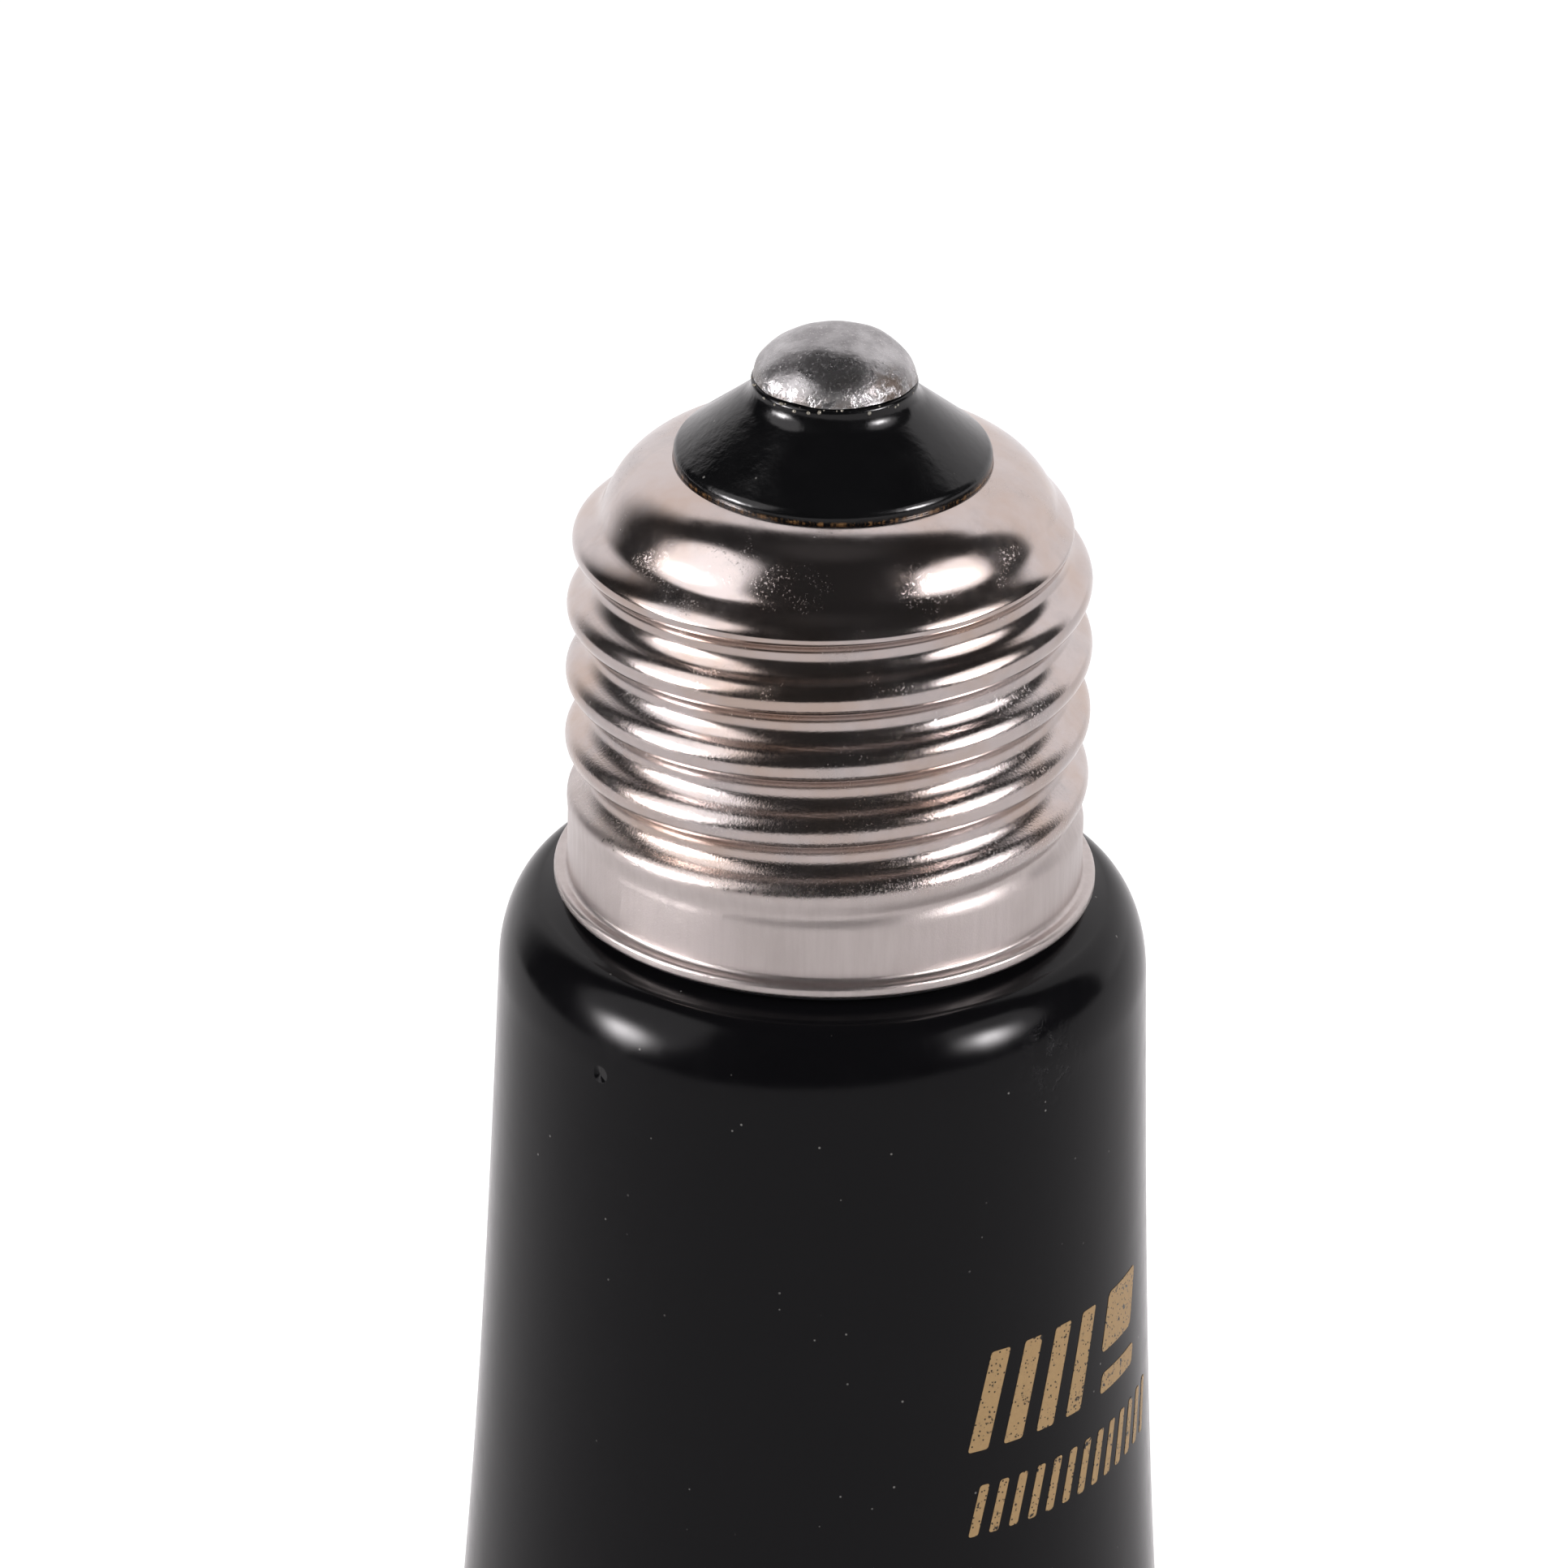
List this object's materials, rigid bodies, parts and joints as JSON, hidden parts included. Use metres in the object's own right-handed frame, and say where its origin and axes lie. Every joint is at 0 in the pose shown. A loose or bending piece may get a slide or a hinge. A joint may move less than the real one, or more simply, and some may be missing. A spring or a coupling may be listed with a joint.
{
  "type": "ceramic heat emitter",
  "caption": "Black glazed ceramic heat emitter with a flared bell, a straight neck and a nickel E27 screw cap with black glass insulator.",
  "frame": {"origin": "centre of the heating face, on the plane of its raised rings, which is the plane it rests on", "axes": "+Z along the axis from the heating face to the screw cap's contact; +X is where the side of the thread facing right in the picture lies, -Y faces the camera"},
  "size_m": [0.075, 0.075, 0.1052],
  "materials": {
    "black_glaze": "gloss",
    "nickel_sheet": "satin",
    "black_glass": "gloss",
    "brass": "satin",
    "solder": "satin",
    "cement": "matte",
    "copper_wire": "satin"
  },
  "bodies": {
    "root": {"ceramic_body": "black_glaze", "screw_shell": "nickel_sheet", "cap_insulator": "black_glass", "contact_plate": "brass", "solder_contact": "solder", "cap_cement": "cement", "centre_lead": "copper_wire", "side_lead": "copper_wire"}
  },
  "joints": []
}
